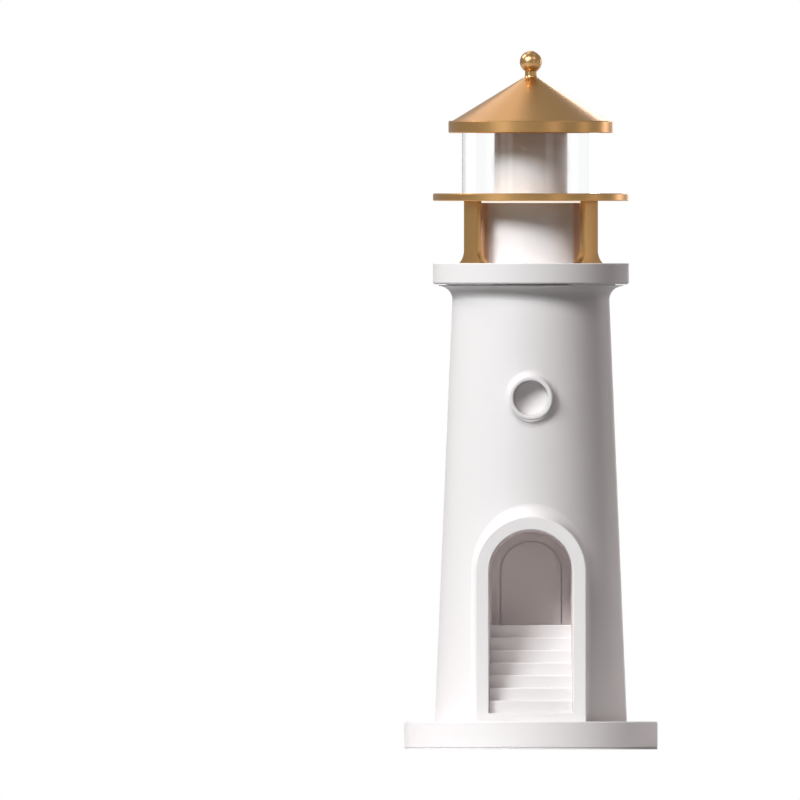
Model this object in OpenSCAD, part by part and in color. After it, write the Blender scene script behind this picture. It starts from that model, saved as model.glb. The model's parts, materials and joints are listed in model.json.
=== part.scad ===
// Lighthouse projection lamp. Millimetres, +Z up, the front with the door faces -Y.
// The origin is the centre of the foot ring's underside, where the lamp stands.

/* [Base] */
// Radius of the base disc
base_r = 45; // [43:1:55]
// Height of the base disc above the foot ring
base_h = 9.4; // [9.2:0.2:14]
// Wall of the base shell
base_wall = 2; // [1.6:0.1:2.4]
// Bevel round the top edge of the base
base_bevel = 0.4; // [0.2:0.1:0.8]
// Height that the foot ring stands out below the base
foot_h = 0.5; // [0.3:0.1:1.2]
// Width of the foot ring
foot_w = 5; // [4:0.5:6]
// Thickness of the bottom cover
cover_t = 1.6; // [1.2:0.1:1.8]
// Thickness of the steel ballast plate
ballast_t = 3.6; // [2:0.1:3.8]

/* [Tower] */
// Height of the tower from the base to the gallery deck
tower_h = 155.3; // [150:1:190]
// Outer radius of the tower at its foot
tower_r0 = 34.1; // [33:0.1:38]
// Outer radius of the tower at its neck
tower_r1 = 27.9; // [27:0.1:30]
// Wall of the tower shell
tower_wall = 2.2; // [1.8:0.1:2.6]
// Radius of the hollow curve under the gallery deck
cove_r = 4.9; // [3:0.1:6]
// Upright lip above the hollow curve
cove_lip = 0.3; // [0.2:0.1:1]

/* [Door and stairs] */
// Half the width of the doorway at its front
door_half_w = 14.9; // [12:0.1:15]
// How much the doorway narrows on each side towards the back
niche_draft = 0.9; // [0.3:0.1:1.5]
// Height of the centre of the arch above the base
arch_h = 53.15; // [50:1:65]
// Width of the door frame's front face
frame_w = 4.8; // [3:0.1:6]
// How far the frame stands in front of the tower's foot
frame_proud = 1.9; // [1:0.1:4]
// Bevel along the edges of the door frame
frame_bevel = 0.35; // [0.2:0.05:0.6]
// Radius of the hollow rounding between the frame and the tower
frame_fillet = 4.6; // [2:0.1:5]
// Height of the sill above the base
sill_h = 3; // [2.6:0.1:6]
// Height of the landing above the base
landing_h = 34.3; // [28:0.1:40]
// Number of risers
step_n = 7; // [5:1:7]
// Depth of each tread
tread_d = 3.2; // [2.6:0.1:3.4]
// Depth of the sill in front of the first riser
sill_d = 2.6; // [2:0.1:4]
// Least room between the battery cradle's corners and the tower's rear wall
battery_wall_gap = 1.4; // [1:0.05:2]
// Radius of the rounded front edge of each step
nosing_r = 0.45; // [0.2:0.05:0.8]
// Thickness of the stair slab under the steps
slab_t = 1.6; // [1.2:0.1:2.2]
// Wall of the niche liner
liner_wall = 1.4; // [1:0.1:1.8]
// Half the width of the arched light panel in the back wall
panel_half_w = 11; // [8:0.1:11.5]
// Gap round the arched light panel
panel_gap = 0.25; // [0.15:0.05:0.4]
// Depth of the light box behind the panel
light_box_d = 3.4; // [3:0.2:5]

/* [Porthole] */
// Height of the porthole above the base
port_h = 114.8; // [100:1:125]
// Radius of the porthole's opening
port_r = 6.2; // [5:0.1:7]
// Width of the porthole's ring
port_ring_w = 1.6; // [1.2:0.1:3]
// How far the ring stands in front of the tower
port_proud = 2; // [1:0.1:3]
// Radius of the hollow rounding between the ring and the tower
port_fillet = 2.6; // [1.5:0.1:3]
// Depth of the recess, from the ring's front to the dish
port_depth = 5.4; // [5:0.1:7]

/* [Power button] */
// Height of the button above the base
button_h = 17; // [14:1:24]
// Radius of the button
button_r = 5; // [4:0.1:6]
// Travel of the button
button_travel = 0.8; // [0.4:0.1:1]
// How far the button stands out of its bezel
button_proud = 1.2; // [1.1:0.1:2]

/* [Swivel] */
// Outer radius of the hub tube
hub_r = 9; // [8:0.1:9.6]
// Wall of the hub tube
hub_wall = 1.8; // [1.4:0.1:2.4]
// Wall of the swivel bush
bush_wall = 1.5; // [1:0.1:2]
// Thickness of the bush's flange, on which the head turns
bush_flange_t = 1; // [0.8:0.1:1.5]
// Thickness of the fixed swivel plate
plate_t = 3; // [2.4:0.1:4]
// Height of the stop collar
collar_h = 4; // [3.5:0.1:5]
// Width of the stop collar's tab
stop_tab_w = 4; // [3:0.1:5]

/* [Gallery] */
// Radius of the gallery deck and of the brass ring above it
deck_r = 34.8; // [34:0.1:40]
// Height of the gallery deck
deck_h = 7.5; // [6.5:0.1:10]
// Bevel on the deck's top edge
deck_bevel = 0.3; // [0.2:0.1:1]
// Bevel on the deck's bottom edge
deck_low_bevel = 0.6; // [0.3:0.1:1]
// Height of the gallery from the deck to the brass ring
gallery_h = 22.1; // [20:0.1:30]
// Thickness of the brass gallery ring
ring_h = 2.7; // [2.4:0.1:4]
// Bevel on the edges of the brass gallery ring
ring_bevel = 0.35; // [0.2:0.05:0.6]
// Outer radius of the drum between the brackets
drum_r = 21; // [20:0.1:22]
// Wall of the drum
drum_wall = 1.8; // [1.4:0.1:2.2]
// Height of the light ring between the drum and the gallery ring
glow_h = 0.7; // [0.5:0.1:1.5]
// Width of a bracket
bracket_w = 6.3; // [5.4:0.1:8]
// Thickness of a bracket
bracket_t = 2.5; // [2.4:0.1:4]
// Distance of a bracket's outer face from the lamp's axis
bracket_face_r = 30.5; // [30:0.1:31]
// Spread of a bracket's foot to each side
flare_w = 2.5; // [1:0.1:3.5]
// Height of the spread to each side
flare_h = 4.7; // [3:0.1:7]
// Spread of a bracket's foot towards the drum
flare_in = 1.5; // [0.5:0.1:2]
// Height of the spread towards the drum
flare_in_h = 7.5; // [4:0.1:10]

/* [Lantern] */
// Height of the lantern between the gallery ring and the roof
lantern_h = 21.4; // [21:0.1:30]
// Outer radius of the glass
glass_r = 24.5; // [23:0.1:25.5]
// Wall of the glass
glass_t = 1.4; // [1:0.1:2]
// Depth of the grooves that hold the glass
groove_d = 1; // [0.8:0.1:1.2]
// Outer radius of the projector column
column_r = 13; // [13:0.1:15]
// Wall of the projector column
column_wall = 1.6; // [1.2:0.1:1.6]
// Inner radius of the lens barrel
barrel_bore_r = 5.3; // [4.5:0.1:5.5]
// Wall of the lens barrel
barrel_wall = 0.7; // [0.5:0.1:0.8]

/* [Roof] */
// Radius of the roof's rim
rim_r = 29.3; // [28.5:0.1:33]
// Height of the roof's rim
rim_h = 4.4; // [4:0.1:6]
// Bevel on the edges of the rim
rim_bevel = 0.4; // [0.2:0.1:0.8]
// Radius of the cone where it meets the rim
cone_r = 27.8; // [24:0.1:28.4]
// Height of the cone above the rim
cone_h = 16.1; // [12:0.1:22]
// Wall of the roof
roof_wall = 1.4; // [1:0.1:1.8]
// Radius of the neck under the ball
neck_r = 2.1; // [2:0.1:3]
// Height of the hollow flare from the cone into the neck
neck_flare_h = 1; // [1:0.1:2.5]
// Length of the neck under the ball
neck_h = 1.45; // [1:0.05:3]
// Radius of the ball on top
ball_r = 3.95; // [3:0.05:5]

/* [Fasteners and fits] */
// Radius of the larger screws
screw_r = 1.5; // [1.2:0.1:1.5]
// Radius of the small screws
small_screw_r = 1; // [0.8:0.1:1]
// Radius of the fine bracket screws and dowels
fine_screw_r = 0.8; // [0.6:0.1:0.8]
// Thickness of the circuit boards
board_t = 1.2; // [1:0.1:1.6]
// Gap between a part and the part that it is glued or pressed into
seat_gap = 0.05; // [0.02:0.01:0.1]
// Radial running clearance of the hub and of the button
run_gap = 0.06; // [0.03:0.01:0.09]
// Gap between the turning deck and the tower
swivel_gap = 0.3; // [0.2:0.05:0.6]

/* [Hidden] */
$fn = 96;
white = [0.95, 0.94, 0.94];
brass = [0.76, 0.57, 0.34];
steel = [0.72, 0.73, 0.75];
board_green = [0.10, 0.35, 0.20];
black = [0.12, 0.12, 0.13];
frost = [0.97, 0.95, 0.90];
clear = [0.85, 0.92, 0.95, 0.35];

// Levels, from the foot up
z_shell0 = foot_h;
z_base = foot_h + base_h;
z_roof_of_base = z_base - base_wall;
z_cover = z_shell0 + cover_t;
z_deck0 = z_base + tower_h;
z_tower_top = z_deck0 - swivel_gap;
z_wall_top = z_tower_top - cove_lip - cove_r;
z_deck = z_deck0 + deck_h;
z_ring0 = z_deck + gallery_h;
z_ring = z_ring0 + ring_h;
z_rim0 = z_ring + lantern_h;
z_rim = z_rim0 + rim_h;
z_cone = z_rim + cone_h;
z_sill = z_base + sill_h;
z_landing = z_base + landing_h;
z_arch = z_base + arch_h;
z_port = z_base + port_h;
z_button = z_base + button_h;
eps = 0.01;
over = 1;

// Fasteners: size of the heads and of the drives, clearances, and how deep each kind holds
head_ratio = 1.85;
drive_ratio = 0.55;
hole_gap = 0.15;
head_gap = 0.2;
fine_hole_gap = 0.1;
screw_head_h = 1.2;
small_head_h = 0.9;
fine_head_h = 0.8;
board_head_h = 0.5;
head_sink_gap = 0.1;
hole_spare = 0.5;
cover_grip = 4;
board_grip = 2.8;
small_grip = 3.5;
small_hole_d = small_grip + hole_spare;
bracket_grip = 4.5;

// Radius of the holes that the cables pass through
cable_hole_r = 4;

// Outer radius of the tower at height z
function tower_r(z) = tower_r0 - (tower_r0 - tower_r1) * (z - z_base) / (z_wall_top - z_base);

// Radius of the arc that is upright at the height h and spreads by w at the foot
function flare_arc(w, h) = (w * w + h * h) / (2 * w);

// Places its children at the radius r on the azimuth a, where 0 is the front
module at_azimuth(a, r) {
    rotate([0, 0, a]) translate([0, -r, 0]) children();
}

// Turns a shape that was drawn along +Z so that it runs along +Y
module along_y() {
    rotate([-90, 0, 0]) children();
}

// A pan-head screw: the seat of its head is at zero, and its shank points up
module screw(r, length, head_h) {
    head_r = head_ratio * r;
    difference() {
        union() {
            translate([0, 0, -eps]) cylinder(r = r, h = length + eps, $fn = 32);
            translate([0, 0, -head_h]) cylinder(r = head_r, h = head_h, $fn = 32);
        }
        translate([0, 0, -head_h - over]) cylinder(r = drive_ratio * head_r, h = over + head_h / 2, $fn = 6);
    }
}

// A disc with a bevel on its bottom edge and one on its top edge
module bevelled_disc(r, h, low, high) {
    rotate_extrude() polygon([
        [0, 0], [r - low, 0], [r, low], [r, h - high], [r - high, h], [0, h]
    ]);
}

// Base

cover_boss_r = 2.6;
cover_boss_inset = 2;
cover_screw_ring = base_r - base_wall - cover_boss_r - cover_boss_inset;
cover_screw_az = [0, 120, 240];
ballast_gap = 0.8;
tower_boss_r = 3;
tower_boss_h = 10;
tower_boss_bite = 0.4;
tower_boss_end = 1;
tower_screw_ring = tower_r0 - tower_wall - tower_boss_r + tower_boss_bite;
tower_screw_az = [52, 128, 232, 308];
usb_w = 8.9;
usb_h = 3.2;
usb_d = 7.4;
usb_wall = 0.3;
usb_floor_t = 1.2;
usb_inset = 0.5;
usb_hole_gap = 0.2;
usb_tongue = [6.6, 4.8, 0.7];
main_board_w = 26;
main_board_l = 16;
main_board_inset = 3;
main_board_y1 = base_r - base_wall - main_board_inset;
main_board_y0 = main_board_y1 - main_board_l;
main_board_lift = 0.6;
z_main_board = z_cover + main_board_lift;
z_usb = z_main_board + board_t + usb_h / 2;
main_post_x = 10;
main_post_y = main_board_y0 + 3;
charger_chip = [6, 6, 1];
small_chip = [4, 4, 1.6];
post_r = 2.2;

// Positions round the axis of a ring of screws
module ring_of(azimuths, r) {
    for (a = azimuths) at_azimuth(a, r) children();
}

module foot_ring() {
    color(black) difference() {
        cylinder(r = cover_screw_ring + foot_w / 2, h = foot_h);
        translate([0, 0, -over]) cylinder(r = cover_screw_ring - foot_w / 2, h = foot_h + 2 * over);
    }
}

module base_cover() {
    color(white) difference() {
        translate([0, 0, z_shell0]) cylinder(r = base_r - base_wall - seat_gap, h = cover_t);
        ring_of(cover_screw_az, cover_screw_ring) {
            translate([0, 0, z_shell0 - over]) cylinder(r = screw_r + hole_gap, h = cover_t + 2 * over);
            translate([0, 0, z_shell0 - over])
                cylinder(r = head_ratio * screw_r + head_gap, h = over + screw_head_h);
        }
    }
}

module cover_screws() {
    color(steel) ring_of(cover_screw_az, cover_screw_ring)
        translate([0, 0, z_shell0 + screw_head_h])
            screw(screw_r, cover_t - screw_head_h + cover_grip, screw_head_h - head_sink_gap);
}

// A slot with round ends, as wide as the socket's mouth
module usb_slot(grow, length) {
    end_r = usb_h / 2 + grow;
    end_x = (usb_w - usb_h) / 2;
    along_y() {
        for (s = [-1, 1]) translate([s * end_x, 0, 0]) cylinder(r = end_r, h = length);
        translate([-end_x, -end_r, 0]) cube([2 * end_x, 2 * end_r, length]);
    }
}

module base_shell() {
    color(white) difference() {
        union() {
            difference() {
                translate([0, 0, z_shell0]) bevelled_disc(base_r, base_h, base_bevel, base_bevel);
                translate([0, 0, z_shell0 - over])
                    cylinder(r = base_r - base_wall, h = base_h - base_wall + over);
            }
            ring_of(cover_screw_az, cover_screw_ring)
                translate([0, 0, z_cover]) cylinder(r = cover_boss_r, h = z_roof_of_base - z_cover + eps);
            for (s = [-1, 1]) translate([s * main_post_x, main_post_y, z_main_board + board_t])
                cylinder(r = post_r, h = z_roof_of_base - z_main_board - board_t + eps);
        }
        ring_of(cover_screw_az, cover_screw_ring)
            translate([0, 0, z_cover - over])
                cylinder(r = screw_r + seat_gap, h = over + cover_grip + hole_spare);
        for (s = [-1, 1]) translate([s * main_post_x, main_post_y, z_main_board])
            cylinder(r = small_screw_r + seat_gap, h = board_t + board_grip + hole_spare);
        ring_of(tower_screw_az, tower_screw_ring)
            translate([0, 0, z_roof_of_base - over])
                cylinder(r = screw_r + hole_gap, h = base_wall + 2 * over);
        cylinder(r = cable_hole_r, h = z_base + over);
        translate([0, base_r - base_wall - over, z_usb]) usb_slot(usb_hole_gap, base_wall + 2 * over);
    }
}

// The ballast plate reaches out to the cover's screws and is cut out round their bosses and the main board
module ballast_plate() {
    z0 = z_roof_of_base - ballast_t;
    board_gap = 1;
    color(steel) difference() {
        translate([0, 0, z0]) cylinder(r = cover_screw_ring, h = ballast_t);
        translate([0, 0, z0 - over]) cylinder(r = cable_hole_r + board_gap, h = ballast_t + 2 * over);
        translate([-main_board_w / 2 - board_gap, main_board_y0 - board_gap, z0 - over])
            cube([main_board_w + 2 * board_gap, base_r, ballast_t + 2 * over]);
        ring_of(cover_screw_az, cover_screw_ring)
            translate([0, 0, z0 - over]) cylinder(r = cover_boss_r + ballast_gap, h = ballast_t + 2 * over);
        ring_of(tower_screw_az, tower_screw_ring)
            translate([0, 0, z0 - over]) cylinder(r = screw_r + hole_gap, h = ballast_t + 2 * over);
    }
}

charger_at = [-7, 5];
small_chip_at = [3, 6];

module main_board() {
    color(board_green) difference() {
        union() {
            translate([-main_board_w / 2, main_board_y0, z_main_board])
                cube([main_board_w, main_board_y1 - main_board_y0, board_t]);
            translate([charger_at[0], main_board_y0 + charger_at[1], z_main_board + board_t - eps])
                cube(charger_chip + [0, 0, eps]);
            translate([small_chip_at[0], main_board_y0 + small_chip_at[1], z_main_board + board_t - eps])
                cube(small_chip + [0, 0, eps]);
        }
        for (s = [-1, 1]) translate([s * main_post_x, main_post_y, z_main_board - over])
            cylinder(r = small_screw_r + hole_gap, h = board_t + 2 * over);
    }
}

module usb_socket() {
    y0 = base_r - usb_inset - usb_d;
    color(steel) difference() {
        translate([0, y0, z_usb]) usb_slot(0, usb_d);
        translate([0, y0 + usb_floor_t, z_usb]) usb_slot(-usb_wall, usb_d);
    }
    color(black) translate([-usb_tongue[0] / 2, y0 + usb_floor_t - eps, z_usb - usb_tongue[2] / 2])
        cube(usb_tongue);
}

// Tower

neck_bore_r = tower_r1 - tower_wall;
z_ledge = z_deck0 - bush_flange_t - plate_t;
ledge_w = 4.6;
ledge_h = 3;
ledge_r = neck_bore_r - ledge_w;
plate_screw_ring = neck_bore_r - ledge_w / 2 - 0.3;
plate_screw_az = [60, 180, 300];
z_plate_head = z_ledge + plate_t - small_head_h - head_sink_gap;

frame_front = tower_r0 + frame_proud;
back_wall_t = 1.6;
liner_out = door_half_w + liner_wall;
z_floor0 = z_sill - slab_t;
light_box_w = panel_half_w + 0.8;
led_w = 2.4;
led_t = 0.8;

button_pad_w = 3.2;
button_pad_r = button_r + button_pad_w;
button_pad_t = 5;
button_pad_proud = 0.6;
button_pad_y = tower_r(z_button) + button_pad_proud;
bezel_sleeve_l = 4;
bezel_sleeve_r = button_r + 1;
bezel_flange_t = 1;
button_flange_t = 1.2;
switch_w = 6.2;
switch_d = 3.8;
switch_floor_t = 0.8;
stem_r = 1.6;
stem_clear = switch_floor_t + button_travel + 0.2;
button_back_y = button_pad_y - bezel_sleeve_l - 0.3 - button_flange_t;
switch_front_y = button_back_y - button_travel - 0.5;
switch_board_y = switch_front_y - switch_d;
switch_board_w = 24;
switch_board_h = 12;
switch_post_x = 9.5;

// The cell stands at the tower's rear wall, and the stair niche is as deep as the room in front of it allows
battery_r = 9.2;
battery_l = 65;
battery_gap = 0.3;
battery_board_gap = 1;
battery_lift = 8;
z_battery = z_landing + battery_lift;
cradle_wall = 1.6;
cradle_plate_t = 2;
cradle_plate_w = 16;
cradle_plate_end = 5;
cradle_end = 6;
cradle_post_z = [z_battery - cradle_end, z_battery + battery_l + cradle_end];
cradle_post_r = 3;
cradle_corner_r = tower_r(cradle_post_z[1] + cradle_plate_end) - tower_wall - battery_wall_gap;
cradle_back_y = sqrt(pow(cradle_corner_r, 2) - pow(cradle_plate_w / 2, 2));
battery_y = cradle_back_y - cradle_wall - battery_gap - battery_r;
y_board_room = battery_y - battery_r - battery_board_gap - board_t;
niche_room = frame_front + y_board_room - light_box_d - back_wall_t;
// In whole tenths of a millimetre
niche_depth = floor(niche_room * 10) / 10;
niche_back = frame_front - niche_depth;
y_light_board = back_wall_t + light_box_d - niche_back;

port_bevel = 0.4;
port_front = tower_r(z_port) + port_proud;
port_out_r = port_r + port_ring_w;
port_sleeve_t = 0.8;
port_sleeve_r = port_r + port_sleeve_t;
port_dish_t = 1.6;
port_dish_sag = 1;
port_sleeve_back = port_front - port_depth - 3;

// The solid of the tower's outside without the hollow curve, grown by off
module tower_core(off) {
    translate([0, 0, z_base - over])
        cylinder(r1 = tower_r(z_base - over) + off, r2 = tower_r1 + off, h = z_wall_top - z_base + over);
}

// Section of the tower's wall with the ledge for the swivel plate
module tower_section() {
    wall_in = tower_r(z_ledge - ledge_h - ledge_w) - tower_wall;
    difference() {
        union() {
            polygon([
                [tower_r0 - tower_wall, z_base],
                [tower_r0, z_base],
                [tower_r1, z_wall_top],
                [tower_r1, z_tower_top],
                [neck_bore_r, z_tower_top],
                [neck_bore_r, z_ledge],
                [ledge_r, z_ledge],
                [ledge_r, z_ledge - ledge_h],
                [wall_in, z_ledge - ledge_h - ledge_w]
            ]);
            translate([tower_r1 - eps, z_wall_top]) square([cove_r + eps, z_tower_top - z_wall_top]);
        }
        translate([tower_r1 + cove_r, z_wall_top]) circle(r = cove_r);
    }
}

// An upright arch of half width w between the levels z0 and the arch, drawn in x and z
module arch_outline(w, z0) {
    translate([0, z_arch]) circle(r = w);
    translate([-w, z0]) square([2 * w, z_arch - z0]);
}

// An arch-shaped block from y0 to y1
module arch_block(w, z0, y0, y1) {
    translate([0, y1, 0]) rotate([90, 0, 0]) linear_extrude(y1 - y0) arch_outline(w, z0);
}

// An arch-shaped block whose half width goes from w0 at y0 to w1 at y1
module drafted_arch(w0, w1, z0, y0, y1) {
    translate([0, y0, z_arch]) along_y() cylinder(r1 = w0, r2 = w1, h = y1 - y0);
    translate([0, 0, z0]) linear_extrude(z_arch - z0) polygon([[-w0, y0], [w0, y0], [w1, y1], [-w1, y1]]);
}

// The doorway space, grown by g, from the front plane to a little past the back wall
module niche_space(g, z0, past) {
    taper = niche_draft * (niche_depth + past) / niche_depth;
    drafted_arch(door_half_w + g, door_half_w + g - taper, z0, -frame_front, past - niche_back);
}

// A round post from the plane y0 to the tower's wall, on the rear side
module wall_post(x, z, y0, r) {
    intersection() {
        translate([x, y0, z]) along_y() cylinder(r = r, h = tower_r0 - y0);
        tower_core(-tower_wall / 2);
    }
}

module tower_shell() {
    color(white) difference() {
        union() {
            rotate_extrude() tower_section();
            ring_of(tower_screw_az, tower_screw_ring)
                translate([0, 0, z_base]) cylinder(r = tower_boss_r, h = tower_boss_h);
            translate([0, button_pad_y - button_pad_t, z_button]) along_y()
                cylinder(r = button_pad_r, h = button_pad_t);
            for (s = [-1, 1])
                wall_post(s * switch_post_x, z_button, switch_board_y, post_r);
            for (z = cradle_post_z)
                wall_post(0, z, cradle_back_y, cradle_post_r);
        }
        arch_block(liner_out + seat_gap, z_floor0 - seat_gap, -tower_r0 - over, -tower_r1 / 2);
        translate([0, -tower_r0, z_port]) along_y() cylinder(r = port_sleeve_r + seat_gap, h = tower_r0);
        translate([0, button_pad_y - button_pad_t - 3 * over, z_button]) along_y()
            cylinder(r = bezel_sleeve_r + seat_gap, h = button_pad_t + 4 * over);
        ring_of(tower_screw_az, tower_screw_ring)
            translate([0, 0, z_base - over])
                cylinder(r = screw_r + seat_gap, h = tower_boss_h - tower_boss_end + over);
        ring_of(plate_screw_az, plate_screw_ring)
            translate([0, 0, z_ledge - small_hole_d])
                cylinder(r = small_screw_r + seat_gap, h = small_hole_d + over);
        for (s = [-1, 1])
            translate([s * switch_post_x, switch_board_y - over, z_button]) along_y()
                cylinder(r = small_screw_r + seat_gap, h = over + small_hole_d);
        for (z = cradle_post_z)
            translate([0, cradle_back_y - over, z]) along_y()
                cylinder(r = small_screw_r + seat_gap, h = over + small_hole_d);
    }
}

module tower_screws() {
    length = ballast_t + base_wall + tower_boss_h - tower_boss_end - 3 * hole_spare;
    color(steel) ring_of(tower_screw_az, tower_screw_ring)
        translate([0, 0, z_roof_of_base - ballast_t]) screw(screw_r, length, screw_head_h);
}

// A hollow rounding between the tower's wall and a side that stands out of it, laid as a ball of radius r
// would lie that touches both. Each point of the path is [x, z, nx, nz]: a point of the side's outline,
// seen from the front, and the direction away from the side. The edge on the wall is left a little blunt.
fillet_edge = 0.1;
fillet_root = 1;
fillet_slices = 10;
function ball_section(p, r) =
    let(
        cx = p[0] + r * p[2],
        cz = p[1] + r * p[3],
        reach = tower_r(cz) + r + fillet_edge,
        centre = [cx, -sqrt(reach * reach - cx * cx), cz],
        to_side = [-p[2], 0, -p[3]],
        to_wall = [-centre[0], -centre[1], 0] / reach,
        turn = acos(to_side * to_wall),
        middle = (to_side + to_wall) / norm(to_side + to_wall)
    )
    concat(
        [for (i = [0 : fillet_slices])
            let(t = turn * i / fillet_slices)
            centre + r * (sin(turn - t) * to_side + sin(t) * to_wall) / sin(turn)],
        [
            centre + (r + fillet_root) * to_wall,
            centre + (r + fillet_root) / cos(turn / 2) * middle,
            centre + (r + fillet_root) * to_side
        ]
    );

module hollow_rounding(path, r, closed) {
    sections = [for (p = path) ball_section(p, r)];
    n = len(sections);
    k = len(sections[0]);
    corner = k - 2;
    steps = closed ? n - 1 : n - 2;
    fan = closed ? [] : [for (j = [0 : k - 1]) if (j != corner && j + 1 != corner) [j, (j + 1) % k]];
    far = (n - 1) * k;
    polyhedron(
        points = [for (s = sections) each s],
        faces = concat(
            [for (i = [0 : steps], j = [0 : k - 1])
                [i * k + j, ((i + 1) % n) * k + (j + 1) % k, i * k + (j + 1) % k]],
            [for (i = [0 : steps], j = [0 : k - 1])
                [i * k + j, ((i + 1) % n) * k + j, ((i + 1) % n) * k + (j + 1) % k]],
            [for (f = fan) [corner, f[0], f[1]]],
            [for (f = fan) [far + corner, far + f[1], far + f[0]]]
        )
    );
}

// The flat arch frame round the doorway, with its sill, cut to the tower's round front
module door_frame() {
    frame_out = door_half_w + frame_w;
    bevel_back = -frame_front + frame_bevel;
    side = frame_out - 2 * eps;
    side_path = concat(
        [[side, z_base - fillet_root, 1, 0]],
        [for (a = [0 : 5 : 180]) [side * cos(a), z_arch + side * sin(a), cos(a), sin(a)]],
        [[-side, z_base - fillet_root, -1, 0]]
    );
    reach = frame_out + frame_fillet + over;
    color(white) difference() {
        union() {
            drafted_arch(frame_out - frame_bevel, frame_out, z_base, -frame_front, bevel_back);
            arch_block(frame_out, z_base, bevel_back - eps, -tower_r1 / 2);
            intersection() {
                hollow_rounding(side_path, frame_fillet, false);
                translate([-reach, bevel_back + eps, z_base]) cube([2 * reach, tower_r0, z_arch + reach]);
            }
        }
        arch_block(door_half_w, z_sill, -frame_front - over, 0);
        drafted_arch(door_half_w + frame_bevel, door_half_w, z_sill, -frame_front - eps, bevel_back);
        tower_core(seat_gap);
    }
}

// Walls and vault of the doorway
module niche_liner() {
    color(white) difference() {
        intersection() {
            niche_space(liner_wall, z_floor0, 0);
            tower_core(0);
        }
        niche_space(0, z_floor0 - over, over);
    }
}

// Back wall of the doorway, with the box that brings the light to the arched panel
module niche_back_wall() {
    y_back = -niche_back;
    color(white) difference() {
        union() {
            arch_block(liner_out - niche_draft, z_floor0, y_back, y_back + back_wall_t);
            arch_block(light_box_w + liner_wall, z_landing - liner_wall,
                y_back + back_wall_t - eps, y_light_board);
        }
        arch_block(panel_half_w, z_landing, y_back - over, y_back + back_wall_t + over);
        arch_block(light_box_w, z_landing, y_back + back_wall_t, y_light_board + over);
    }
}

// Steps: points of the upper outline, with the front edge of each step rounded
rise = (z_landing - z_sill) / step_n;
y_first = -frame_front + sill_d;
function nosing(k) = [
    for (a = [0 : 15 : 90])
        [y_first + k * tread_d + nosing_r * (1 - cos(a)), z_sill + (k + 1) * rise - nosing_r * (1 - sin(a))]
];
step_points = [
    for (k = [0 : step_n - 1]) each concat([[y_first + k * tread_d, z_sill + k * rise]], nosing(k))
];

// Cut to the tower's round front below the sill, and square within the frame above it
module staircase() {
    y_end = -niche_back;
    slab_drop = slab_t * sqrt(1 + pow(rise / tread_d, 2));
    slab_back = (slab_drop - slab_t) * tread_d / rise;
    color(white) intersection() {
        rotate([90, 0, 90]) translate([0, 0, -door_half_w]) linear_extrude(2 * door_half_w)
            polygon(concat(
                [[-frame_front, z_floor0], [-frame_front, z_sill]],
                step_points,
                [
                    [y_end, z_landing],
                    [y_end, z_landing - slab_t],
                    [y_first + step_n * tread_d + slab_back, z_landing - slab_t],
                    [y_first + slab_back, z_floor0]
                ]
            ));
        niche_space(-seat_gap, z_floor0 - over, over);
        union() {
            tower_core(0);
            translate([-door_half_w, -frame_front, z_sill]) cube([2 * door_half_w, frame_front, z_landing - z_sill]);
        }
    }
}

module arched_diffuser() {
    y_back = -niche_back;
    flange_t = 0.8;
    color(frost) {
        arch_block(panel_half_w - panel_gap, z_landing + seat_gap, y_back, y_back + back_wall_t + eps);
        arch_block(light_box_w - 2 * seat_gap, z_landing + seat_gap,
            y_back + back_wall_t, y_back + back_wall_t + flange_t);
    }
}

module stair_light_board() {
    led_x = 4.5;
    led_pitch = 8;
    led_lift = 9;
    led_z0 = z_landing + led_lift;
    color(board_green)
        arch_block(light_box_w + liner_wall, z_landing - liner_wall, y_light_board, y_light_board + board_t);
    color("ivory") for (s = [-1, 1], i = [0 : 2])
        translate([s * led_x, y_light_board, led_z0 + led_pitch * i]) led_chip();
}

// A light-emitting chip that stands on the front of a board
module led_chip() {
    translate([-led_w / 2, -led_t, -led_w / 2]) cube([led_w, led_t + eps, led_w]);
}

// Porthole

module porthole_ring() {
    sleeve_l = port_front - port_sleeve_back;
    side = port_out_r - 2 * eps;
    side_path = [for (a = [0 : 10 : 350]) [side * cos(a), z_port + side * sin(a), cos(a), sin(a)]];
    reach = port_out_r + port_fillet + over;
    color(white) {
        difference() {
            union() {
                translate([0, -port_front, z_port]) along_y() rotate_extrude() polygon([
                    [port_r + port_bevel, 0],
                    [port_out_r - port_bevel, 0],
                    [port_out_r, port_bevel],
                    [port_out_r, port_proud + 3],
                    [port_r, port_proud + 3],
                    [port_r, port_bevel]
                ]);
                intersection() {
                    hollow_rounding(side_path, port_fillet, true);
                    translate([-reach, -port_front + port_bevel + eps, z_port - reach])
                        cube([2 * reach, tower_r0, 2 * reach]);
                }
            }
            tower_core(seat_gap);
        }
        translate([0, -port_front, z_port]) along_y() rotate_extrude()
            translate([port_r, port_bevel]) square([port_sleeve_t, sleeve_l - port_bevel]);
    }
}

// The shallow round dish at the bottom of the recess
module porthole_dish() {
    dish_r = 16;
    color(frost) translate([0, -port_front + port_depth - port_dish_sag, z_port]) along_y() difference() {
        cylinder(r = port_r - seat_gap, h = port_dish_t + port_dish_sag);
        translate([0, 0, port_dish_sag - dish_r]) sphere(r = dish_r);
    }
}

module porthole_light_board() {
    y0 = -port_sleeve_back;
    color(board_green) translate([0, y0, z_port]) along_y() cylinder(r = port_sleeve_r, h = board_t);
    color("ivory") translate([0, y0, z_port]) led_chip();
}

// Power button on the rear of the tower

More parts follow.
